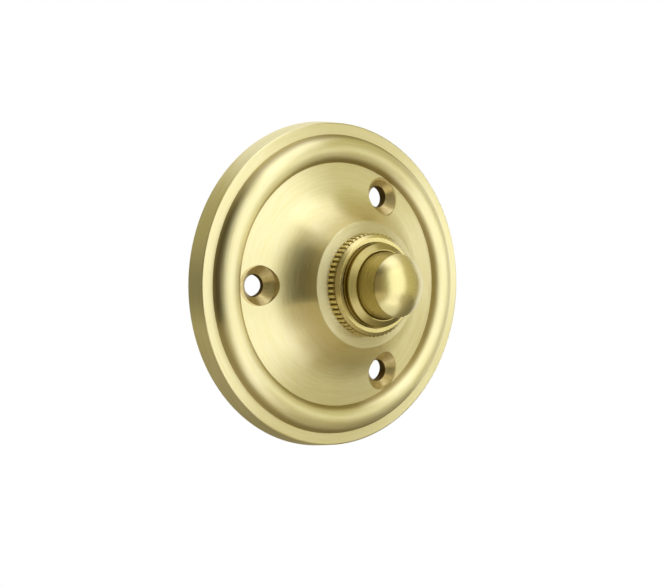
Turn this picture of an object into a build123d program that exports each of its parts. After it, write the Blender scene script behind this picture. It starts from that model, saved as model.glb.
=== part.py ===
from build123d import *
import os
from math import cos, degrees, pi, radians, sin, tan

# A round bell push of satin brass. A hollow turned rose is screwed to a wall or door post,
# a press switch in a threaded barrel passes through its boss, and a knurled ring clamps the barrel.
# Lengths are in millimetres. The rose's flat back lies in the XZ plane, the front faces -Y and +Z is up.
# Half sections are drawn as (radius from the button's axis, height above the wall).

# Rose: a plain rim, a flat land, a low bead, a dish for the screws and a flared boss
rose_radius = 35.0
rim_height = 4.4
rim_draft = 7.0
land_width = 3.0
bead_width = 6.05
bead_rise = 2.1
dish_edge_height = 5.35
dish_slope = 11.0
flare_slope = 82.0
boss_radius = 13.35
boss_height = 14.5
boss_wall = 3.0
boss_side = 1.5
inner_flare_slope = 67.0
seat_depth = 0.5
seat_gap = 0.4
rose_wall = 3.4
back_width = 4.0
edge_break = 0.3

# Three countersunk screw holes in the dish, the first one to the left
screw_count = 3
screw_inset = 4.05
screw_hole_radius = 2.25
countersink_radius = 4.2
countersink_angle = 90.0
first_screw_angle = 180.0

# Knurled ring on the front of the boss
ring_wall = 1.85
ring_height = 2.95
ring_bevel_depth = 0.5
ring_bevel_width = 1.0
knurl_teeth = 60
knurl_depth = 0.4
knurl_land = 0.45
knurl_floor = 0.15

# Threaded barrel with the wider switch body behind the boss
barrel_radius = 8.9
thread_gap = 0.1
collar_stand = 5.25
collar_lead = 1.65
collar_lead_inset = 0.25
collar_bevel_depth = 0.85
collar_bevel_width = 1.25
guide_wall = 1.85
guide_length = 6.75
guide_mouth = 0.15
stop_ledge = 0.75
body_step = 2.1
body_shoulder = 1.5
body_wall = 1.4
body_lip = 0.7
lock_washer_thickness = 0.5
lock_washer_margin = 0.1
lock_washer_teeth = 12
lock_washer_cut = 0.7

# Push button: domed cap, shank, shoulder and a hollow skirt for the spring
travel = 2.0
running_gap = 0.05
shank_stand = 4.7
shank_straight = 0.5
crease_inset = 0.5
crease_round = 0.7
cap_rise = 3.35
shoulder_thickness = 1.2
shoulder_gap = 0.1
skirt_step = 1.6
skirt_wall = 1.2
spring_pocket_depth = 5.0

# Moving contact: an insulating carrier, a bronze ring and the clip that keeps it on
fit_gap = 0.05
carrier_step = 0.9
carrier_tail = 0.4
carrier_groove_depth = 0.25
contact_ring_margin = 0.3
contact_ring_thickness = 0.5
contact_ring_clearance = 0.3
carrier_clip_reach = 1.1
carrier_clip_thickness = 0.5
clip_gap_angle = 50.0

# Fixed contacts on the insulating base
contact_gap = 0.05
contact_width = 3.2
contact_thickness = 0.65
contact_margin_angle = 16.0
contact_pocket_depth = 0.3
tip_inset = 1.1
tip_angle = 52.0
tip_radius = 0.85
tip_height = 0.9
tip_shank_radius = 0.5
base_ledge = 0.4
base_flange_thickness = 1.2
base_hub_gap = 0.1
base_thickness = 2.8
base_spigot_height = 3.0
base_clip_thickness = 0.6
base_clip_gap = 0.15
base_groove_depth = 0.4

# Terminals on the back of the base
terminal_inset = 1.7
terminal_angles = {"right": 0.0, "left": 180.0}
terminal_screw_radius = 1.0
terminal_head_radius = 1.7
terminal_head_height = 1.2
terminal_slot_width = 0.5
terminal_slot_depth = 0.6
terminal_washer_radius = 1.85
terminal_washer_thickness = 0.5

# Return spring
spring_wire_radius = 0.35
spring_play = 0.35
spring_turns = 6

# Heights above the wall, from the boss inwards and outwards
boss_inner_height = boss_height - boss_wall
body_front = boss_inner_height - lock_washer_thickness
collar_front = boss_height + collar_stand
stop_height = collar_front - guide_length
shoulder_rear = stop_height - shoulder_thickness
crease_height = collar_front + shank_stand
cap_tip = crease_height + cap_rise
spring_pocket_end = stop_height + spring_pocket_depth
cavity_front = body_front - body_shoulder
contact_ring_front = cavity_front - contact_ring_clearance
contact_ring_rear = contact_ring_front - contact_ring_thickness
carrier_clip_rear = contact_ring_rear - carrier_clip_thickness
carrier_rear = carrier_clip_rear - carrier_tail
tip_top = contact_ring_rear - travel - contact_gap
contact_front = tip_top - tip_height
contact_rear = contact_front - contact_thickness
base_front = contact_rear + contact_pocket_depth
base_flange_rear = base_front - base_flange_thickness
base_rear = base_front - base_thickness
base_clip_rear = base_flange_rear - base_clip_thickness
body_rear = base_clip_rear - body_lip
terminal_washer_rear = base_rear - terminal_washer_thickness
terminal_head_rear = terminal_washer_rear - terminal_head_height

# Radii of the rose, from the rim inwards
bead_outer_radius = rose_radius - land_width
bead_inner_radius = bead_outer_radius - bead_width
screw_circle_radius = bead_inner_radius - screw_inset

# Radii of the switch, from the barrel outwards and inwards
bore_radius = barrel_radius + thread_gap
ring_radius = bore_radius + ring_wall
lead_radius = barrel_radius - collar_lead_inset
body_radius = barrel_radius + body_step
seat_radius = body_radius + seat_gap
cavity_radius = body_radius - body_wall
guide_radius = barrel_radius - guide_wall
counterbore_radius = guide_radius + stop_ledge
shank_radius = guide_radius - running_gap
crease_radius = shank_radius - crease_inset
shoulder_radius = counterbore_radius - shoulder_gap
skirt_radius = shank_radius - skirt_step
spring_pocket_radius = skirt_radius - skirt_wall
spring_radius = spring_pocket_radius - spring_play - spring_wire_radius
carrier_bore_radius = skirt_radius + fit_gap
carrier_radius = shank_radius
carrier_spigot_radius = carrier_radius - carrier_step
carrier_clip_radius = carrier_spigot_radius + carrier_clip_reach
contact_ring_radius = cavity_radius - contact_ring_margin
contact_outer_radius = contact_ring_radius
contact_inner_radius = contact_outer_radius - contact_width
tip_circle_radius = contact_outer_radius - tip_inset
terminal_circle_radius = contact_outer_radius - terminal_inset
terminal_hole_radius = terminal_screw_radius + fit_gap
base_flange_radius = cavity_radius + base_ledge
base_seat_radius = base_flange_radius + fit_gap
base_hub_radius = cavity_radius - base_hub_gap
base_spigot_radius = spring_radius - spring_wire_radius - spring_play


def spot(radius, height):
    """A point of a half section."""
    return (radius, -height)


def outline(*corners):
    """The closed half section with these straight sides."""
    return make_face(Polyline(*[spot(*corner) for corner in corners], close=True))


def rounded(section, corner, radius):
    """The half section with one corner rounded."""
    return fillet(section.vertices().sort_by_distance(Vector(*spot(*corner)))[0], radius)


def turned(section, angle=360.0):
    """The solid that a half section sweeps out about the button's axis."""
    return revolve(section, Axis.Y, angle)


def ring(inner, outer, rear, front):
    """A plain round tube or washer."""
    return turned(outline((inner, rear), (outer, rear), (outer, front), (inner, front)))


def rod(radius, rear, front):
    """A plain round bar on the button's axis."""
    return turned(outline((0, rear), (radius, rear), (radius, front), (0, front)))


def placed(piece, radius, angle):
    """The piece moved out from the axis, at an angle from +X towards +Z."""
    return Pos(radius * cos(radians(angle)), 0, radius * sin(radians(angle))) * piece


def facing(piece, angle):
    """The piece turned about the axis, by an angle from +X towards +Z."""
    return Rot(0, -angle, 0) * piece


def slot(width, length, rear, front):
    """A straight cutter across the axis."""
    return Pos(0, -(rear + front) / 2, 0) * Box(length, front - rear, width)


def sector(inner, outer, rear, front, start, end):
    """A part of a ring between two angles."""
    section = outline((inner, rear), (outer, rear), (outer, front), (inner, front))
    return facing(turned(section, end - start), end)


def make_rose():
    dish_rise = tan(radians(dish_slope))
    under_dish = rose_wall / cos(radians(dish_slope))
    rim_front_radius = rose_radius - rim_height * tan(radians(rim_draft))
    back_inner_radius = rose_radius - back_width
    cavity_top = boss_inner_height - seat_depth

    def dish_height(radius, drop):
        """Height of the dish's front, or of its underside when a drop is given."""
        return dish_edge_height - drop + (bead_inner_radius - radius) * dish_rise

    def flare(edge, slope, drop):
        """The arc that leaves an edge of the boss at this slope and runs out into the dish, and its end."""
        radius, height = edge
        run = (height - dish_height(radius, drop)) / (tan(radians(slope)) - dish_rise)
        end_radius = radius + run + run / cos(radians(slope)) * cos(radians(dish_slope))
        end = (end_radius, dish_height(end_radius, drop))
        tangent = (cos(radians(slope)), sin(radians(slope)))
        return TangentArc(spot(*edge), spot(*end), tangent=tangent), end

    rim_edge = (rim_front_radius, rim_height)
    bead_foot = (bead_outer_radius, rim_height)
    dish_edge = (bead_inner_radius, dish_edge_height)
    bead_crest = (
        (bead_outer_radius + bead_inner_radius) / 2,
        (rim_height + dish_edge_height) / 2 + bead_rise,
    )
    boss_edge = (boss_radius, boss_height)
    inner_corner = (boss_radius - boss_side, cavity_top)
    front_flare, front_end = flare(boss_edge, flare_slope, 0)
    inner_flare, inner_end = flare(inner_corner, inner_flare_slope, under_dish)

    rim = Polyline(spot(rose_radius, 0), spot(*rim_edge), spot(*bead_foot))
    bead = ThreePointArc(spot(*bead_foot), spot(*bead_crest), spot(*dish_edge))
    dish = Line(spot(*dish_edge), spot(*front_end))
    boss = Polyline(
        spot(*boss_edge), spot(bore_radius, boss_height), spot(bore_radius, cavity_top), spot(*inner_corner)
    )
    back = Polyline(
        spot(*inner_end),
        spot(back_inner_radius, dish_height(back_inner_radius, under_dish)),
        spot(back_inner_radius, 0),
        spot(rose_radius, 0),
    )
    section = make_face(rim + bead + dish + front_flare + boss + inner_flare + back)
    section = rounded(section, rim_edge, edge_break)
    section = rounded(section, boss_edge, edge_break)
    rose = turned(section) - rod(seat_radius, 0, boss_inner_height)

    face_height = dish_height(screw_circle_radius, 0)
    cone_depth = (countersink_radius - screw_hole_radius) / tan(radians(countersink_angle / 2))
    cutter = turned(
        outline(
            (0, 0),
            (screw_hole_radius, 0),
            (screw_hole_radius, face_height - cone_depth),
            (countersink_radius, face_height),
            (countersink_radius, boss_height),
            (0, boss_height),
        )
    )
    for number in range(screw_count):
        rose -= placed(cutter, screw_circle_radius, first_screw_angle + number * 360 / screw_count)
    return rose


def make_knurled_ring():
    ring_top = boss_height + ring_height
    valley_radius = ring_radius - knurl_depth
    pitch = 2 * pi / knurl_teeth
    star = []
    for tooth in range(knurl_teeth):
        corners = [
            (ring_radius, -knurl_land / 2),
            (ring_radius, knurl_land / 2),
            (valley_radius, (1 - knurl_floor) / 2),
            (valley_radius, (1 + knurl_floor) / 2),
        ]
        for reach, share in corners:
            angle = (tooth + share) * pitch
            star.append((reach * cos(angle), reach * sin(angle)))
    toothed = Pos(0, -boss_height, 0) * extrude(Plane.XZ * Polygon(*star, align=None), ring_height)
    blank = outline(
        (bore_radius, boss_height),
        (ring_radius, boss_height),
        (ring_radius, ring_top - ring_bevel_depth),
        (ring_radius - ring_bevel_width, ring_top),
        (bore_radius, ring_top),
    )
    return turned(blank) & toothed


def make_lock_washer():
    inner = bore_radius
    outer = body_radius - lock_washer_margin
    washer = ring(inner, outer, body_front, boss_inner_height)
    cut = placed(slot(lock_washer_cut, outer - inner, body_front, boss_inner_height), outer, 0)
    for number in range(lock_washer_teeth):
        washer -= facing(cut, number * 360 / lock_washer_teeth)
    return washer


def make_switch_barrel():
    groove_radius = base_seat_radius + base_groove_depth
    return turned(
        outline(
            (guide_radius + guide_mouth, collar_front),
            (lead_radius - collar_bevel_width, collar_front),
            (lead_radius, collar_front - collar_bevel_depth),
            (lead_radius, collar_front - collar_lead),
            (barrel_radius, collar_front - collar_lead),
            (barrel_radius, body_front),
            (body_radius, body_front),
            (body_radius, body_rear),
            (base_seat_radius, body_rear),
            (base_seat_radius, base_clip_rear),
            (groove_radius, base_clip_rear),
            (groove_radius, base_flange_rear),
            (base_seat_radius, base_flange_rear),
            (base_seat_radius, base_front),
            (cavity_radius, base_front),
            (cavity_radius, cavity_front),
            (counterbore_radius, cavity_front),
            (counterbore_radius, stop_height),
            (guide_radius, stop_height),
            (guide_radius, collar_front - guide_mouth),
        )
    )


def make_push_button():
    crease = (crease_radius, crease_height)
    cap = TangentArc(spot(0, cap_tip), spot(*crease), tangent=(1, 0))
    rest = [
        crease,
        (shank_radius, collar_front - shank_straight),
        (shank_radius, stop_height),
        (shoulder_radius, stop_height),
        (shoulder_radius, shoulder_rear),
        (skirt_radius, shoulder_rear),
        (skirt_radius, carrier_rear),
        (spring_pocket_radius, carrier_rear),
        (spring_pocket_radius, spring_pocket_end),
        (0, spring_pocket_end),
        (0, cap_tip),
    ]
    section = make_face(cap + Polyline(*[spot(*corner) for corner in rest]))
    return turned(rounded(section, crease, crease_round))


def make_contact_carrier():
    groove_radius = carrier_spigot_radius - carrier_groove_depth
    return turned(
        outline(
            (carrier_bore_radius, shoulder_rear),
            (carrier_radius, shoulder_rear),
            (carrier_radius, contact_ring_front),
            (carrier_spigot_radius, contact_ring_front),
            (carrier_spigot_radius, contact_ring_rear),
            (groove_radius, contact_ring_rear),
            (groove_radius, carrier_clip_rear),
            (carrier_spigot_radius, carrier_clip_rear),
            (carrier_spigot_radius, carrier_rear),
            (carrier_bore_radius, carrier_rear),
        )
    )


def make_contact_ring():
    return ring(
        carrier_spigot_radius + fit_gap, contact_ring_radius, contact_ring_rear, contact_ring_front
    )


def make_carrier_clip():
    inner = carrier_spigot_radius - carrier_groove_depth + fit_gap
    return sector(
        inner, carrier_clip_radius, carrier_clip_rear, contact_ring_rear, clip_gap_angle, 360.0
    )


def make_switch_base():
    base = turned(
        outline(
            (0, base_rear),
            (base_hub_radius, base_rear),
            (base_hub_radius, base_flange_rear),
            (base_flange_radius, base_flange_rear),
            (base_flange_radius, base_front),
            (base_spigot_radius, base_front),
            (base_spigot_radius, base_front + base_spigot_height - edge_break),
            (base_spigot_radius - edge_break, base_front + base_spigot_height),
            (0, base_front + base_spigot_height),
        )
    )
    hole = rod(terminal_hole_radius, base_rear, base_front)
    for angle in terminal_angles.values():
        base -= contact_plate(angle, fit_gap)
        base -= placed(hole, terminal_circle_radius, angle)
    return base


def contact_plate(angle, margin):
    """The blank of a fixed contact, from its terminal screw to its tip, with room left around it."""
    extra = degrees(margin / contact_inner_radius)
    return sector(
        contact_inner_radius - margin,
        contact_outer_radius + margin,
        contact_rear,
        contact_front,
        angle - contact_margin_angle - extra,
        angle + tip_angle + contact_margin_angle / 2 + extra,
    )


def make_fixed_contact(angle):
    contact = contact_plate(angle, 0)
    screw_hole = rod(terminal_hole_radius, contact_rear, contact_front)
    rivet_hole = rod(tip_shank_radius + fit_gap, contact_rear, contact_front)
    contact -= placed(screw_hole, terminal_circle_radius, angle)
    return contact - placed(rivet_hole, tip_circle_radius, angle + tip_angle)


def make_contact_tip(angle):
    dome = TangentArc(spot(0, tip_top), spot(tip_radius, tip_top - tip_height / 2), tangent=(1, 0))
    stem = Polyline(
        spot(tip_radius, tip_top - tip_height / 2),
        spot(tip_radius, contact_front),
        spot(tip_shank_radius, contact_front),
        spot(tip_shank_radius, contact_rear),
        spot(0, contact_rear),
        spot(0, tip_top),
    )
    return placed(turned(make_face(dome + stem)), tip_circle_radius, angle + tip_angle)


def make_base_clip():
    return sector(
        base_hub_radius + base_clip_gap,
        base_seat_radius + base_groove_depth - fit_gap,
        base_clip_rear,
        base_flange_rear,
        clip_gap_angle,
        360.0,
    )


def make_terminal_washer(angle):
    washer = ring(
        terminal_hole_radius, terminal_washer_radius, terminal_washer_rear, base_rear
    )
    return placed(washer, terminal_circle_radius, angle)


def make_terminal_screw(angle):
    head = outline(
        (0, terminal_head_rear),
        (terminal_head_radius - edge_break, terminal_head_rear),
        (terminal_head_radius, terminal_head_rear + edge_break),
        (terminal_head_radius, terminal_washer_rear),
        (terminal_screw_radius, terminal_washer_rear),
        (terminal_screw_radius, contact_front),
        (0, contact_front),
    )
    groove = slot(
        terminal_slot_width,
        2 * terminal_head_radius,
        terminal_head_rear,
        terminal_head_rear + terminal_slot_depth,
    )
    return placed(turned(head) - groove, terminal_circle_radius, angle)


def make_return_spring():
    rise = spring_pocket_end - base_front - 2 * spring_wire_radius
    coil = Helix(rise / spring_turns, rise, spring_radius, direction=(0, -1, 0))
    coil = Pos(0, -base_front - spring_wire_radius, 0) * coil
    wire = Plane(origin=coil @ 0, z_dir=coil % 0) * Circle(spring_wire_radius)
    return sweep(wire, path=coil)


nodes = {
    "rose": make_rose(),
    "knurled_ring": make_knurled_ring(),
    "lock_washer": make_lock_washer(),
    "switch_barrel": make_switch_barrel(),
    "push_button": make_push_button(),
    "return_spring": make_return_spring(),
    "contact_carrier": make_contact_carrier(),
    "contact_ring": make_contact_ring(),
    "carrier_clip": make_carrier_clip(),
    "switch_base": make_switch_base(),
    "base_clip": make_base_clip(),
}
for side, angle in terminal_angles.items():
    nodes[f"fixed_contact_{side}"] = make_fixed_contact(angle)
    nodes[f"contact_tip_{side}"] = make_contact_tip(angle)
    nodes[f"terminal_washer_{side}"] = make_terminal_washer(angle)
    nodes[f"terminal_screw_{side}"] = make_terminal_screw(angle)

os.makedirs("parts", exist_ok=True)
for name, piece in nodes.items():
    export_step(piece, f"parts/{name}.step")
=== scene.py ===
import math

import bpy
from mathutils import Matrix, Vector


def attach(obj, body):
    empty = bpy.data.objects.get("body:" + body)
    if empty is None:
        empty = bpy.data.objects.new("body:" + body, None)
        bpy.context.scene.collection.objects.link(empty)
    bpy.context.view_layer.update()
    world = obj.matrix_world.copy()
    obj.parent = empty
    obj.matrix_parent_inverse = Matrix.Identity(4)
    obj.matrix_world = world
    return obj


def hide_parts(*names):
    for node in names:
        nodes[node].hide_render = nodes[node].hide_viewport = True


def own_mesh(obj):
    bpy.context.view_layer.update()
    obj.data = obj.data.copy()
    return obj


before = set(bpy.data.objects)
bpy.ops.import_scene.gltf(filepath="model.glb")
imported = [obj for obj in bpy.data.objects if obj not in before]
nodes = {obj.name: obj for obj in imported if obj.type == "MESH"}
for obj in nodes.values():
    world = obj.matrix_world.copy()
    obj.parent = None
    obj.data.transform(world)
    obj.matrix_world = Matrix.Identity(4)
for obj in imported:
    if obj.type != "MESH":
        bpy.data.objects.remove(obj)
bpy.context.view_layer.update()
mm = 0.001
print("frame loaded:", len(nodes), "nodes")


# the sRGB curve, undone
def hexToLinear(hexColour):
    shares = [int(hexColour[i : i + 2], 16) / 255 for i in (1, 3, 5)]
    linear = [s / 12.92 if s <= 0.04045 else ((s + 0.055) / 1.055) ** 2.4 for s in shares]
    return (*linear, 1)


def setInputs(tree, node, inputs):
    for name, value in inputs.items():
        if isinstance(value, bpy.types.NodeSocket):
            tree.links.new(value, node.inputs[name])
        else:
            node.inputs[name].default_value = value


def addNode(tree, kind, settings=None, inputs=None):
    node = tree.nodes.new("ShaderNode" + kind)
    for name, value in (settings or {}).items():
        setattr(node, name, value)
    setInputs(tree, node, inputs or {})
    return node


def startMaterial(name):
    material = bpy.data.materials.new(name)
    material.use_nodes = True
    tree = material.node_tree
    return material, tree, tree.nodes["Principled BSDF"]


def dress(material, *names):
    for name in names:
        nodes[name].material_slots[0].material = material


def deselectAll():
    if bpy.context.object and bpy.context.object.mode == "EDIT":
        bpy.ops.object.mode_set(mode="OBJECT")
    bpy.ops.object.select_all(action="DESELECT")


# node settings used again and again
multiply = {"operation": "MULTIPLY"}
multiplyAdd = {"operation": "MULTIPLY_ADD"}
add = {"operation": "ADD"}
subtract = {"operation": "SUBTRACT"}
lessThan = {"operation": "LESS_THAN"}
greaterThan = {"operation": "GREATER_THAN"}
maximum = {"operation": "MAXIMUM"}
mixColours = {"data_type": "RGBA"}  # from input 6 to input 7, output 2
mixNumbers = {"data_type": "FLOAT"}  # from input 2 to input 3, output 0
smoothly = {"interpolation_type": "SMOOTHSTEP"}  # Map Range: inputs 1 and 2 become 3 and 4
white = (1, 1, 1, 1)

# noise: how many layers it has, and the ends of the middle part that most of it lies in
noise = {"lineDetail": 3, "softDetail": 2, "low": 0.25, "high": 0.75}

# lathe-turned metal: fine lines round the axis, so highlights spread across them
turning = {
    "sideShare": 0.5,  # where only the height changes, lines are twice as wide
    "lineBreakup": 0.6,
    "streakLow": 0.35,
    "streakHigh": 0.65,
    "streakShare": 0.45,
    "cloudShare": 0.4,
    "quarterTurn": 0.25,  # makes highlights stretch across the lines
}


def turnedMetal(finish):
    material, tree, shader = startMaterial(finish["name"])
    place = addNode(tree, "TexCoord").outputs["Object"]
    flat = addNode(tree, "VectorMath", multiply, {0: place, 1: (1, 0, 1)}).outputs[0]
    height = addNode(tree, "SeparateXYZ", None, {0: place}).outputs["Y"]

    # each screw hole is cut about its own axis, so its lines go round that
    spoke, rawShare, boreShare = flat, 0, 0
    for centre in finish.get("holes", []):
        away = addNode(tree, "VectorMath", {"operation": "DISTANCE"}, {0: flat, 1: centre}).outputs["Value"]
        near = addNode(tree, "Math", lessThan, {0: away, 1: finish["holeReach"]}).outputs[0]
        shift = addNode(tree, "VectorMath", {"operation": "SCALE"}, {0: centre, "Scale": near}).outputs[0]
        spoke = addNode(tree, "VectorMath", subtract, {0: spoke, 1: shift}).outputs[0]
        rawShare = addNode(tree, "Math", add, {0: rawShare, 1: near}).outputs[0]
        bore = addNode(tree, "Math", lessThan, {0: away, 1: finish["boreReach"]}).outputs[0]
        boreShare = addNode(tree, "Math", add, {0: boreShare, 1: bore}).outputs[0]

    radius = addNode(tree, "VectorMath", {"operation": "LENGTH"}, {0: spoke}).outputs["Value"]
    fromMiddle = addNode(tree, "VectorMath", {"operation": "LENGTH"}, {0: flat}).outputs["Value"]
    around = addNode(tree, "VectorMath", {"operation": "NORMALIZE"}, {0: spoke}).outputs[0]
    profile = addNode(tree, "Math", multiplyAdd, {0: height, 1: turning["sideShare"], 2: radius}).outputs[0]
    across = addNode(tree, "Math", {"operation": "DIVIDE"}, {0: profile, 1: finish["lineWidth"]}).outputs[0]
    lane = addNode(tree, "CombineXYZ", None, {"Y": across}).outputs[0]
    arcs = finish["strokesRound"]
    stroke = addNode(tree, "VectorMath", multiplyAdd, {0: around, 1: (arcs, 0, arcs), 2: lane}).outputs[0]
    lines = addNode(tree, "TexNoise", None, {
        "Vector": stroke,
        "Scale": 1,
        "Detail": noise["lineDetail"],
        "Roughness": turning["lineBreakup"],
    }).outputs["Fac"]
    cloud = addNode(tree, "TexNoise", None, {
        "Vector": place,
        "Scale": 1 / finish["cloudSize"],
        "Detail": noise["softDetail"],
    }).outputs["Fac"]

    # colour: the metal's own, a little uneven along the lines and in soft clouds
    streaks = addNode(
        tree, "MapRange", None, {0: lines, 1: turning["streakLow"], 2: turning["streakHigh"], 3: 0, 4: 1}
    ).outputs[0]
    tone = addNode(tree, "Math", multiply, {0: streaks, 1: turning["streakShare"]}).outputs[0]
    tone = addNode(tree, "Math", multiplyAdd, {0: cloud, 1: turning["cloudShare"], 2: tone}).outputs[0]
    dark, light = hexToLinear(finish["dark"]), hexToLinear(finish["light"])
    colour = addNode(tree, "Mix", mixColours, {0: tone, 6: dark, 7: light}).outputs[2]
    low, high = finish["roughness"]
    rough = addNode(
        tree, "MapRange", None, {0: lines, 1: noise["low"], 2: noise["high"], 3: low, 4: high}
    ).outputs[0]

    if "holes" in finish:
        dark, light = hexToLinear(finish["rawDark"]), hexToLinear(finish["rawLight"])
        raw = addNode(tree, "Mix", mixColours, {0: lines, 6: dark, 7: light}).outputs[2]
        colour = addNode(tree, "Mix", mixColours, {0: rawShare, 6: colour, 7: raw}).outputs[2]
        rough = addNode(
            tree, "Mix", mixNumbers, {0: rawShare, 2: rough, 3: finish["rawRoughness"]}
        ).outputs[0]
        # painted shade inside the bores
        dark = hexToLinear(finish["boreShadeColour"])
        colour = addNode(tree, "Mix", mixColours, {0: boreShare, 6: colour, 7: dark}).outputs[2]
        rough = addNode(
            tree, "Mix", mixNumbers, {0: boreShare, 2: rough, 3: finish["boreRoughness"]}
        ).outputs[0]
    if "insideLight" in finish:  # the back and the hollow are duller and darker, with the same lines
        facing = addNode(tree, "NewGeometry").outputs["Normal"]
        fromAxis = addNode(tree, "VectorMath", {"operation": "NORMALIZE"}, {0: flat}).outputs[0]
        outward = addNode(
            tree, "VectorMath", {"operation": "DOT_PRODUCT"}, {0: facing, 1: fromAxis}
        ).outputs["Value"]
        backward = addNode(tree, "SeparateXYZ", None, {0: facing}).outputs["Y"]
        notOut = addNode(tree, "Math", lessThan, {0: outward, 1: finish["outwardLimit"]}).outputs[0]
        notFront = addNode(tree, "Math", greaterThan, {0: backward, 1: finish["frontLimit"]}).outputs[0]
        wall = addNode(tree, "Math", multiply, {0: notOut, 1: notFront}).outputs[0]
        wall = addNode(tree, "Math", {**subtract, "use_clamp": True}, {0: wall, 1: rawShare}).outputs[0]
        backFace = addNode(tree, "Math", greaterThan, {0: backward, 1: finish["backLimit"]}).outputs[0]
        inside = addNode(tree, "Math", maximum, {0: wall, 1: backFace}).outputs[0]
        dark, light = hexToLinear(finish["insideDark"]), hexToLinear(finish["insideLight"])
        dull = addNode(tree, "Mix", mixColours, {0: tone, 6: dark, 7: light}).outputs[2]
        colour = addNode(tree, "Mix", mixColours, {0: inside, 6: colour, 7: dull}).outputs[2]
        rough = addNode(
            tree, "Mix", mixNumbers, {0: inside, 2: rough, 3: finish["insideRoughness"]}
        ).outputs[0]
    if "faceFront" in finish:  # the boss's face is rougher than the brushed part
        faced = addNode(tree, "Math", lessThan, {0: height, 1: finish["faceFront"]}).outputs[0]
        rough = addNode(tree, "Mix", mixNumbers, {0: faced, 2: rough, 3: finish["faceRoughness"]}).outputs[0]
    for paintedShade in finish.get("paintedShades", []):  # painted shade: from a sharp edge at the foot it fades out towards the end
        fading = addNode(tree, "MapRange", smoothly, {
            0: fromMiddle,
            1: paintedShade["full"],
            2: paintedShade["end"],
            3: paintedShade["share"],
            4: 0,
        }).outputs[0]
        beyond = greaterThan if paintedShade["end"] > paintedShade["foot"] else lessThan
        pastFoot = addNode(tree, "Math", beyond, {0: fromMiddle, 1: paintedShade["foot"]}).outputs[0]
        inFront = addNode(tree, "Math", lessThan, {0: height, 1: finish["paintedShadeFront"]}).outputs[0]
        share = addNode(tree, "Math", multiply, {0: fading, 1: pastFoot}).outputs[0]
        share = addNode(tree, "Math", multiply, {0: share, 1: inFront}).outputs[0]
        dark = hexToLinear(paintedShade["colour"])
        colour = addNode(tree, "Mix", mixColours, {0: share, 6: colour, 7: dark}).outputs[2]
    if "skirtBack" in finish:  # painted shade on the side behind the bevel or the dome
        skirtShade = addNode(tree, "Math", greaterThan, {0: height, 1: finish["skirtBack"]}).outputs[0]
        dark = hexToLinear(finish["skirtShadeColour"])
        colour = addNode(tree, "Mix", mixColours, {0: skirtShade, 6: colour, 7: dark}).outputs[2]
    if "grooveRadius" in finish:  # painted shade and polish residue in the valleys of the knurl
        deep = addNode(
            tree, "MapRange", None, {0: radius, 1: finish["grooveRadius"], 2: finish["tipRadius"], 3: 1, 4: 0}
        ).outputs[0]
        behind = addNode(tree, "Math", greaterThan, {0: height, 1: finish["grooveFront"]}).outputs[0]
        valleyShadeAndResidue = addNode(tree, "Math", multiply, {0: deep, 1: behind}).outputs[0]
        dark = hexToLinear(finish["grooveShadeAndResidueColour"])
        colour = addNode(tree, "Mix", mixColours, {0: valleyShadeAndResidue, 6: colour, 7: dark}).outputs[2]

    bump = addNode(
        tree, "Bump", None, {"Height": lines, "Strength": finish["bump"], "Distance": finish["lineDepth"]}
    ).outputs[0]
    tangent = addNode(tree, "VectorMath", {"operation": "CROSS_PRODUCT"}, {0: spoke, 1: (0, 1, 0)}).outputs[0]
    setInputs(tree, shader, {
        "Base Color": colour,
        "Metallic": 1,
        "Roughness": rough,
        "Anisotropic": finish["spread"],
        "Anisotropic Rotation": turning["quarterTurn"],
        "Tangent": tangent,
        "Normal": bump,
    })
    return material


# metal rolled to sheet or drawn to wire: faint straight lines, slight patches
def rolledMetal(finish):
    material, tree, shader = startMaterial(finish["name"])
    place = addNode(tree, "TexCoord").outputs["Object"]
    perLine = [1 / size for size in finish["lineSize"]]
    stretched = addNode(tree, "Mapping", None, {"Vector": place, "Scale": perLine}).outputs[0]
    lines = addNode(
        tree, "TexNoise", None, {"Vector": stretched, "Scale": 1, "Detail": noise["lineDetail"]}
    ).outputs["Fac"]
    patches = addNode(tree, "TexNoise", None, {
        "Vector": place,
        "Scale": 1 / finish["patchSize"],
        "Detail": noise["softDetail"],
    }).outputs["Fac"]
    dark, light = hexToLinear(finish["dark"]), hexToLinear(finish["light"])
    colour = addNode(tree, "Mix", mixColours, {0: patches, 6: dark, 7: light}).outputs[2]
    low, high = finish["roughness"]
    rough = addNode(
        tree, "MapRange", None, {0: lines, 1: noise["low"], 2: noise["high"], 3: low, 4: high}
    ).outputs[0]
    bump = addNode(
        tree, "Bump", None, {"Height": lines, "Strength": finish["bump"], "Distance": finish["lineDepth"]}
    ).outputs[0]
    setInputs(tree, shader, {"Base Color": colour, "Metallic": 1, "Roughness": rough, "Normal": bump})
    return material


# moulded plastic: the mould's fine sparked grain, and flecks of filler where it has them
moulding = {"fleckFrom": 0.55, "grainLow": 0.3, "grainHigh": 0.7}


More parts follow.
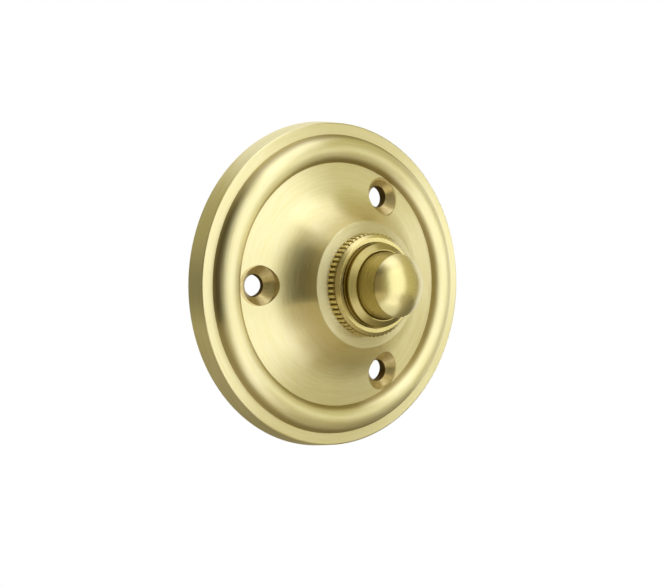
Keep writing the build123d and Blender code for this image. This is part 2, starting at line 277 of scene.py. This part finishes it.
def mouldedPlastic(finish):
    material, tree, shader = startMaterial(finish["name"])
    place = addNode(tree, "TexCoord").outputs["Object"]
    grain = addNode(tree, "TexNoise", None, {
        "Vector": place,
        "Scale": 1 / finish["grainSize"],
        "Detail": noise["softDetail"],
    }).outputs["Fac"]
    flecks = addNode(
        tree, "TexVoronoi", None, {"Vector": place, "Scale": 1 / finish["fleckSize"]}
    ).outputs["Color"]
    pick = addNode(tree, "SeparateXYZ", None, {0: flecks}).outputs["X"]
    share = addNode(
        tree, "MapRange", None, {0: pick, 1: moulding["fleckFrom"], 2: 1, 3: 0, 4: finish["fleckShare"]}
    ).outputs[0]
    body, fleck = hexToLinear(finish["body"]), hexToLinear(finish["fleck"])
    colour = addNode(tree, "Mix", mixColours, {0: share, 6: body, 7: fleck}).outputs[2]
    low, high = finish["roughness"]
    rough = addNode(
        tree, "MapRange", None, {0: grain, 1: moulding["grainLow"], 2: moulding["grainHigh"], 3: low, 4: high}
    ).outputs[0]
    bump = addNode(
        tree, "Bump", None, {"Height": grain, "Strength": finish["bump"], "Distance": finish["grainDepth"]}
    ).outputs[0]
    setInputs(tree, shader, {"Base Color": colour, "Roughness": rough, "IOR": finish["ior"], "Normal": bump})
    return material


# rose: cast brass turned all over, satin brushed on the lathe; pale, soft and slightly green
screwHoles = {"circle": 21.9 * mm, "angles": (180, 60, 300)}
holeTurns = [math.radians(angle) for angle in screwHoles["angles"]]
roseFinish = {
    "name": "satinBrass",
    "light": "#FAF2D6",
    "dark": "#E9DEAE",
    "roughness": (0.3, 0.36),
    "spread": 0.93,
    "lineWidth": 0.45 * mm,  # real lines are about 0.05 mm, too fine to show, so they are drawn coarser
    "lineDepth": 0.02 * mm,
    "strokesRound": 4,
    "cloudSize": 12 * mm,
    "bump": 0.6,
    "holes": [(screwHoles["circle"] * math.cos(t), 0, screwHoles["circle"] * math.sin(t)) for t in holeTurns],
    "holeReach": 4.2 * mm,
    "rawLight": "#E8D9AC",  # countersinks are browner
    "rawDark": "#B49C66",
    "rawRoughness": 0.3,
    "boreReach": 2.35 * mm,
    "boreShadeColour": "#5C4A28",  # bores are dull, and painted dark as shade inside them
    "boreRoughness": 0.5,
    "insideLight": "#C2A866",
    "insideDark": "#9C8349",
    "insideRoughness": 0.5,
    "outwardLimit": 0.3,  # the hollow's walls face outward and forward less than these
    "frontLimit": -0.15,
    "backLimit": 0.5,  # the back faces backward more than this
    "faceFront": -14.3 * mm,
    "faceRoughness": 0.5,
    "paintedShadeFront": -4.0 * mm,
    "paintedShades": [  # painted shade at both feet of the bead and on the flare, matched
        {"foot": 25.95 * mm, "full": 26.3 * mm, "end": 27.4 * mm, "share": 0.8, "colour": "#8E7A42"},
        {"foot": 32.0 * mm, "full": 31.7 * mm, "end": 30.6 * mm, "share": 0.65, "colour": "#8E7A42"},
        {"foot": 13.3 * mm, "full": 16.0 * mm, "end": 20.0 * mm, "share": 0.24, "colour": "#C8AE5A"},
    ],
}
satinBrass = turnedMetal(roseFinish)
dress(satinBrass, "rose")

# ring: the same brass, turned and knurled, with painted shade and polish residue between the teeth
ringFinish = {
    **{key: roseFinish[key] for key in ("lineWidth", "lineDepth", "strokesRound", "cloudSize", "bump")},
    "name": "knurledBrass",
    "light": "#E9DCA8",
    "dark": "#D8C88E",
    "roughness": (0.24, 0.32),
    "spread": 0.3,
    "grooveRadius": 10.45 * mm,
    "tipRadius": 10.8 * mm,
    "grooveFront": -16.8 * mm,
    "grooveShadeAndResidueColour": "#7C662E",
}
knurledBrass = turnedMetal(ringFinish)
dress(knurledBrass, "knurled_ring")

# the solid's bevel is too flat, so a copy stands for the ring, with a bevel of 45 degrees
ringBevel = {
    "front": -17.45 * mm,
    "depth": 0.5 * mm,
    "steeper": 2.0,
    "sharp": 30,
    "merge": 0.001 * mm,
    "slack": 0.01 * mm,
}
steepRing = bpy.data.objects.new("steepRing", nodes["knurled_ring"].data.copy())
bpy.context.scene.collection.objects.link(steepRing)
deselectAll()
steepRing.select_set(True)
bpy.context.view_layer.objects.active = steepRing
bpy.ops.mesh.customdata_custom_splitnormals_clear()
bpy.ops.object.mode_set(mode="EDIT")
bpy.ops.mesh.select_all(action="SELECT")
bpy.ops.mesh.remove_doubles(threshold=ringBevel["merge"])
bpy.ops.object.mode_set(mode="OBJECT")
for vertex in steepRing.data.vertices:
    behind = vertex.co.y - ringBevel["front"]
    if behind < ringBevel["depth"] + ringBevel["slack"]:
        vertex.co.y = ringBevel["front"] + behind * ringBevel["steeper"]
bpy.ops.object.shade_smooth_by_angle(angle=math.radians(ringBevel["sharp"]))
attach(steepRing, "housing")
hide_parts("knurled_ring")
print("ring bevelled:", len(steepRing.data.polygons), "faces")

# barrel: brass bar turned bright, not brushed after
barrelFinish = {
    "name": "turnedBrass",
    "light": "#C6B985",
    "dark": "#AC9C65",
    "roughness": (0.2, 0.28),
    "spread": 0.3,
    "lineWidth": 0.2 * mm,  # feed lines, drawn at twice their real pitch so that they show
    "lineDepth": 0.004 * mm,
    "strokesRound": 2,
    "cloudSize": 8 * mm,
    "bump": 0.4,
    "skirtBack": -18.85 * mm,  # the collar's side gets painted shade, matched
    "skirtShadeColour": "#8A7840",
}
turnedBrass = turnedMetal(barrelFinish)
dress(turnedBrass, "switch_barrel")

# button: satin brass, a shade browner than the rose
buttonFinish = {
    "name": "buttonBrass",
    "light": "#EDE3B4",
    "dark": "#E0D29C",
    "roughness": (0.26, 0.32),
    "spread": 0.1,
    "lineWidth": 0.35 * mm,  # drawn coarser than the real 0.05 mm so that they show
    "lineDepth": 0.003 * mm,
    "strokesRound": 1,
    "cloudSize": 6 * mm,
    "bump": 0.2,
    "skirtBack": -24.45 * mm,  # the skirt below the dome gets painted shade, matched
    "skirtShadeColour": "#BBAC70",
}
buttonBrass = turnedMetal(buttonFinish)
dress(buttonBrass, "push_button")

# spring steel: hard drawn and oiled, grey with dark streaks
steelFinish = {
    "name": "oiledSpringSteel",
    "light": "#A9ABAE",
    "dark": "#7E8083",
    "roughness": (0.28, 0.42),
    "lineSize": (1.2 * mm, 0.12 * mm, 0.12 * mm),
    "lineDepth": 0.004 * mm,
    "patchSize": 2.5 * mm,
    "bump": 0.4,
}
springSteel = rolledMetal(steelFinish)
dress(springSteel, "lock_washer", "return_spring", "carrier_clip", "base_clip")

# phosphor bronze strip: warm and reddish beside the brass
bronzeFinish = {
    "name": "phosphorBronze",
    "light": "#D2A06E",
    "dark": "#B98552",
    "roughness": (0.25, 0.38),
    "lineSize": (2 * mm, 0.15 * mm, 0.15 * mm),
    "lineDepth": 0.003 * mm,
    "patchSize": 3 * mm,
    "bump": 0.35,
}
phosphorBronze = rolledMetal(bronzeFinish)
dress(phosphorBronze, "contact_ring")

# contact brass: stamped from half-hard strip, yellower than the rose
stripFinish = {
    "name": "stampedBrass",
    "light": "#DCC07A",
    "dark": "#C4A55A",
    "roughness": (0.28, 0.4),
    "lineSize": (2 * mm, 0.15 * mm, 0.15 * mm),
    "lineDepth": 0.003 * mm,
    "patchSize": 3 * mm,
    "bump": 0.35,
}
stampedBrass = rolledMetal(stripFinish)
dress(stampedBrass, "fixed_contact_left", "fixed_contact_right")
dress(stampedBrass, "terminal_washer_left", "terminal_washer_right")

# contact silver: cold-headed rivets, white and a little tarnished
silverFinish = {
    "name": "contactSilver",
    "light": "#E4E3DC",
    "dark": "#C6C3B4",
    "roughness": (0.22, 0.34),
    "lineSize": (0.3 * mm, 0.3 * mm, 0.3 * mm),
    "lineDepth": 0.002 * mm,
    "patchSize": 0.8 * mm,
    "bump": 0.3,
}
contactSilver = rolledMetal(silverFinish)
dress(contactSilver, "contact_tip_left", "contact_tip_right")

# nickel plate on the terminal screws: bright, faintly yellow
nickelFinish = {
    "name": "nickelPlate",
    "light": "#D2CEC3",
    "dark": "#B4AFA3",
    "roughness": (0.2, 0.32),
    "lineSize": (0.25 * mm, 0.25 * mm, 0.25 * mm),
    "lineDepth": 0.003 * mm,
    "patchSize": 1.5 * mm,
    "bump": 0.3,
}
nickelPlate = rolledMetal(nickelFinish)
dress(nickelPlate, "terminal_screw_left", "terminal_screw_right")

# nylon: natural, moulded; milky, with the mould's fine grain
nylonFinish = {
    "name": "mouldedNylon",
    "body": "#E4DFCF",
    "fleck": "#EDE9DC",
    "fleckSize": 0.8 * mm,
    "fleckShare": 0.5,
    "grainSize": 0.15 * mm,
    "grainDepth": 0.01 * mm,
    "roughness": (0.4, 0.5),
    "ior": 1.53,
    "bump": 0.4,
}
mouldedNylon = mouldedPlastic(nylonFinish)
dress(mouldedNylon, "contact_carrier")

# phenolic: dark brown, pressed with wood flour, so it is finely flecked
phenolicFinish = {
    "name": "mouldedPhenolic",
    "body": "#3A2419",
    "fleck": "#5B3B28",
    "fleckSize": 0.25 * mm,
    "fleckShare": 0.8,
    "grainSize": 0.2 * mm,
    "grainDepth": 0.01 * mm,
    "roughness": (0.32, 0.45),
    "ior": 1.6,
    "bump": 0.4,
}
mouldedPhenolic = mouldedPlastic(phenolicFinish)
dress(mouldedPhenolic, "switch_base")
print("finishes set on", len(nodes), "nodes")

# return spring: closed and ground at both ends, as a real compression spring is
spring = {
    "front": -18.0 * mm,  # against the button
    "seat": -5.4 * mm,  # on the base
    "coilRadius": 3.5 * mm,
    "wireRadius": 0.35 * mm,
    "openTurns": 4,  # and one closed turn at each end
    "closedPitch": 0.72 * mm,
    "wireSides": 16,
    "stepsPerTurn": 40,
    "travel": 2.0 * mm,
    "merge": 0.01 * mm,
    "sharp": 40,
}


def windTurns(startY, turns, pitch):
    deselectAll()
    bpy.ops.mesh.primitive_circle_add(
        vertices=spring["wireSides"], radius=spring["wireRadius"], location=(spring["coilRadius"], startY, 0)
    )
    bpy.ops.object.transform_apply(location=True, rotation=True, scale=True)
    wire = bpy.context.object
    screw = wire.modifiers.new("wind", "SCREW")
    screw.axis = "Y"
    screw.screw_offset = pitch
    screw.iterations = turns
    screw.steps = screw.render_steps = spring["stepsPerTurn"]
    bpy.ops.object.modifier_apply(modifier=screw.name)
    return wire


springLength = spring["seat"] - spring["front"]
openPitch = (springLength - 2 * spring["closedPitch"]) / spring["openTurns"]
windings = [
    windTurns(spring["front"], 1, spring["closedPitch"]),
    windTurns(spring["front"] + spring["closedPitch"], spring["openTurns"], openPitch),
    windTurns(spring["seat"] - spring["closedPitch"], 1, spring["closedPitch"]),
]
deselectAll()
for winding in windings:
    winding.select_set(True)
returnSpring = windings[0]
bpy.context.view_layer.objects.active = returnSpring
bpy.ops.object.join()
returnSpring.name = "returnSpring"
bpy.ops.object.mode_set(mode="EDIT")
bpy.ops.mesh.select_all(action="SELECT")
bpy.ops.mesh.remove_doubles(threshold=spring["merge"])
for cutY, outwardY in ((spring["seat"], 1), (spring["front"], -1)):  # grind both ends flat
    bpy.ops.mesh.select_all(action="SELECT")
    bpy.ops.mesh.bisect(plane_co=(0, cutY, 0), plane_no=(0, outwardY, 0), use_fill=True, clear_outer=True)
bpy.ops.mesh.select_all(action="SELECT")
bpy.ops.mesh.normals_make_consistent(inside=False)
bpy.ops.object.mode_set(mode="OBJECT")
bpy.ops.object.shade_smooth_by_angle(angle=math.radians(spring["sharp"]))
returnSpring.data.materials.clear()
returnSpring.data.materials.append(springSteel)
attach(returnSpring, "housing")
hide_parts("return_spring")
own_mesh(returnSpring)
print("spring wound:", len(returnSpring.data.polygons), "faces")

# floor: a pale sheet well below, white to the camera. It keeps a soft shadow, and metal mirrors it dimmer, as
# a painted pool of light brighter at the front left
floorSheet = {
    "size": 2.0,
    "drop": -0.45,
    "corner": 0.3,
    "cornerSteps": 8,
    "colour": "#EDEDEB",
    "roughness": 0.9,
    "glowShare": 0.94,
    "across": (0.7, 0.7, 0),  # from the front left to the back right
    "leftEnd": -0.2,
    "rightEnd": 0.3,
    "leftLevel": 0.48,  # what the metal mirrors of it at each end
    "rightLevel": 0.2,
    "mirrorColour": "#FFF0BA",
}
deselectAll()
bpy.ops.mesh.primitive_plane_add(size=floorSheet["size"], location=(0, 0, floorSheet["drop"]))
floor = bpy.context.object
floor.name = "floorSheet"
bpy.ops.object.transform_apply(location=True, rotation=True, scale=True)
bpy.ops.object.mode_set(mode="EDIT")
bpy.ops.mesh.select_all(action="SELECT")
bpy.ops.mesh.bevel(offset=floorSheet["corner"], segments=floorSheet["cornerSteps"], affect="VERTICES")
bpy.ops.object.mode_set(mode="OBJECT")
material, tree, shader = startMaterial("palePaper")
paperColour = hexToLinear(floorSheet["colour"])
setInputs(tree, shader, {"Base Color": paperColour, "Roughness": floorSheet["roughness"]})
place = addNode(tree, "TexCoord").outputs["Object"]
# for mirrored rays the floor glows with painted light, brighter at the front left than at the back right
sideways = addNode(
    tree, "VectorMath", {"operation": "DOT_PRODUCT"}, {0: place, 1: floorSheet["across"]}
).outputs["Value"]
mirrorLevel = addNode(tree, "MapRange", smoothly, {
    0: sideways,
    1: floorSheet["leftEnd"],
    2: floorSheet["rightEnd"],
    3: floorSheet["leftLevel"],
    4: floorSheet["rightLevel"],
}).outputs[0]
rays = addNode(tree, "LightPath").outputs
toCamera = rays["Is Camera Ray"]
mirrored = addNode(
    tree, "Math", maximum, {0: rays["Is Glossy Ray"], 1: rays["Is Transmission Ray"]}
).outputs[0]
seen = addNode(tree, "Math", maximum, {0: mirrored, 1: toCamera}).outputs[0]
share = addNode(tree, "Math", multiply, {0: seen, 1: floorSheet["glowShare"]}).outputs[0]
strength = addNode(tree, "Mix", mixNumbers, {0: toCamera, 2: mirrorLevel, 3: 1}).outputs[0]
mirrorColour = hexToLinear(floorSheet["mirrorColour"])
glowColour = addNode(tree, "Mix", mixColours, {0: toCamera, 6: mirrorColour, 7: white}).outputs[2]
glow = addNode(tree, "Emission", None, {"Color": glowColour, "Strength": strength}).outputs[0]
mixed = addNode(tree, "MixShader", None, {0: share, 1: shader.outputs[0], 2: glow}).outputs[0]
tree.links.new(mixed, tree.nodes["Material Output"].inputs["Surface"])
floor.data.materials.append(material)

# room: soft panels that the metal mirrors, each over those before it. Bearings are degrees left of straight
# ahead, widths reach that far to each side, and low and high are degrees up
room = {
    "colour": "#C8C290",
    "panels": [
        # ceiling
        {"bearing": 0, "width": 180, "low": 56, "high": 110, "soft": 14, "colour": "#EBE9DC"},
        # right side of the room
        {"bearing": -134, "width": 57, "low": -105, "high": 25, "soft": 36, "colour": "#817A58"},
        # white backdrop
        {"bearing": -118, "width": 32, "low": -23, "high": 24, "soft": 14, "colour": "#FFFFFA"},
        # dark left side
        {"bearing": 77, "width": 40, "low": -30, "high": 57, "soft": 32, "colour": "#3A300F"},
        # white backdrop, higher up
        {"bearing": -152, "width": 28, "low": 28, "high": 58, "soft": 18, "colour": "#FFFFF0"},
        # far left
        {"bearing": 147, "width": 26, "low": -13, "high": 11, "soft": 18, "colour": "#9D9778"},
    ],
}
world = bpy.data.worlds.new("studioRoom")
bpy.context.scene.world = world
world.use_nodes = True
tree = world.node_tree
way = addNode(tree, "SeparateXYZ", None, {0: addNode(tree, "TexCoord").outputs["Generated"]}).outputs
toLeft = addNode(tree, "Math", multiply, {0: way["X"], 1: -1}).outputs[0]
ahead = addNode(tree, "Math", multiply, {0: way["Y"], 1: -1}).outputs[0]
bearing = addNode(tree, "Math", {"operation": "ARCTAN2"}, {0: toLeft, 1: ahead}).outputs[0]
lift = addNode(tree, "Math", {"operation": "ARCSINE"}, {0: way["Z"]}).outputs[0]
colour = addNode(tree, "RGB").outputs[0]
colour.default_value = hexToLinear(room["colour"])
for panel in room["panels"]:
    middle = math.radians((panel["low"] + panel["high"]) / 2)
    half = math.radians((panel["high"] - panel["low"]) / 2)
    width, soft = math.radians(panel["width"]), math.radians(panel["soft"])
    aside = addNode(tree, "Math", subtract, {0: bearing, 1: math.radians(panel["bearing"])}).outputs[0]
    aside = addNode(tree, "Math", {"operation": "WRAP"}, {0: aside, 1: math.pi, 2: -math.pi}).outputs[0]
    aside = addNode(tree, "Math", {"operation": "ABSOLUTE"}, {0: aside}).outputs[0]
    over = addNode(tree, "Math", subtract, {0: lift, 1: middle}).outputs[0]
    over = addNode(tree, "Math", {"operation": "ABSOLUTE"}, {0: over}).outputs[0]
    wideShare = addNode(
        tree, "MapRange", smoothly, {0: aside, 1: width - soft / 2, 2: width + soft / 2, 3: 1, 4: 0}
    ).outputs[0]
    tallShare = addNode(
        tree, "MapRange", smoothly, {0: over, 1: half - soft / 2, 2: half + soft / 2, 3: 1, 4: 0}
    ).outputs[0]
    share = addNode(tree, "Math", multiply, {0: wideShare, 1: tallShare}).outputs[0]
    panelColour = hexToLinear(panel["colour"])
    colour = addNode(tree, "Mix", mixColours, {0: share, 6: colour, 7: panelColour}).outputs[2]
# the camera sees plain white behind the object
toCamera = addNode(tree, "LightPath").outputs["Is Camera Ray"]
colour = addNode(tree, "Mix", mixColours, {0: toCamera, 6: colour, 7: white}).outputs[2]
setInputs(tree, tree.nodes["Background"], {"Color": colour, "Strength": 1})

# lamps: bearings are degrees left of straight ahead, levels are the brightness of the lamp's face
button = nodes["push_button"]
lampColour = "#F0F8FF"  # daylight
lamps = [
    {
        "name": "frontSoftbox", "bearing": -1, "elevation": 11, "distance": 0.9,
        "width": 0.84, "height": 1.2, "level": 0.94,
    },
    {
        "name": "sideStrip", "bearing": -42, "elevation": 2, "distance": 0.9,
        "width": 0.42, "height": 0.17, "level": 1.26, "flagged": "EXCLUDE", "pieces": [button],
    },
    {
        "name": "topSoftbox", "bearing": -16, "elevation": 62, "distance": 0.9,
        "width": 0.62, "height": 0.75, "level": 0.72,
    },
    {
        "name": "tableCard", "bearing": 7, "elevation": -40, "distance": 0.55,
        "width": 0.35, "height": 0.36, "level": 0.85,
    },
    {
        "name": "buttonCard", "bearing": 8, "elevation": -70, "distance": 0.2,
        "width": 0.2, "height": 0.2, "level": 0.5, "flagged": "INCLUDE", "pieces": [button],
    },
    {
        "name": "buttonFill", "bearing": 62, "elevation": 0, "distance": 0.3, "colour": "#FFE9B4",
        "width": 0.28, "height": 0.4, "level": 0.18, "flagged": "INCLUDE", "pieces": [button, steepRing],
    },
]
for lamp in lamps:
    turn, lift = math.radians(lamp["bearing"]), math.radians(lamp["elevation"])
    toLamp = Vector((-math.sin(turn) * math.cos(lift), -math.cos(turn) * math.cos(lift), math.sin(lift)))
    light = bpy.data.lights.new(lamp["name"], "AREA")
    light.shape = "RECTANGLE"
    light.size, light.size_y = lamp["width"], lamp["height"]
    light.color = hexToLinear(lamp.get("colour", lampColour))[:3]
    light.energy = lamp["level"] * math.pi * lamp["width"] * lamp["height"]
    holder = bpy.data.objects.new(lamp["name"], light)
    bpy.context.scene.collection.objects.link(holder)
    holder.location = toLamp * lamp["distance"]
    holder.rotation_euler = toLamp.to_track_quat("Z", "Y").to_euler()
    holder.visible_camera = False
    if "flagged" in lamp:  # flags keep this lamp off some pieces, or on them alone
        flag = bpy.data.collections.new(lamp["name"] + "Flag")
        for piece in lamp["pieces"]:
            flag.objects.link(piece)
        for flagged in flag.collection_objects:
            flagged.light_linking.link_state = lamp["flagged"]
        holder.light_linking.receiver_collection = flag
print("stage, room and", len(lamps), "lamps set")

# camera: turned round to the left of the button, a little above it
photoCamera = {
    "azimuth": -37.84,
    "elevation": 1.53,
    "distance": 0.32125,
    "right": 1.516 * mm,
    "up": -2.097 * mm,
    "lens": 80.29,
    "sensor": 36,
    "nearest": 0.01,
}
turn, lift = math.radians(photoCamera["azimuth"]), math.radians(photoCamera["elevation"])
back = Vector((math.sin(turn) * math.cos(lift), -math.cos(turn) * math.cos(lift), math.sin(lift)))
right = Vector((math.cos(turn), math.sin(turn), 0))
up = back.cross(right)
lens = bpy.data.cameras.new("photoCamera")
lens.sensor_width = photoCamera["sensor"]
lens.lens = photoCamera["lens"]
lens.clip_start = photoCamera["nearest"]
camera = bpy.data.objects.new("photoCamera", lens)
bpy.context.scene.collection.objects.link(camera)
placed = Matrix((right, up, back)).transposed().to_4x4()
placed.translation = back * photoCamera["distance"] + right * photoCamera["right"] + up * photoCamera["up"]
camera.matrix_world = placed
bpy.context.scene.camera = camera
bpy.context.scene.view_settings.view_transform = "Standard"
print("camera placed")
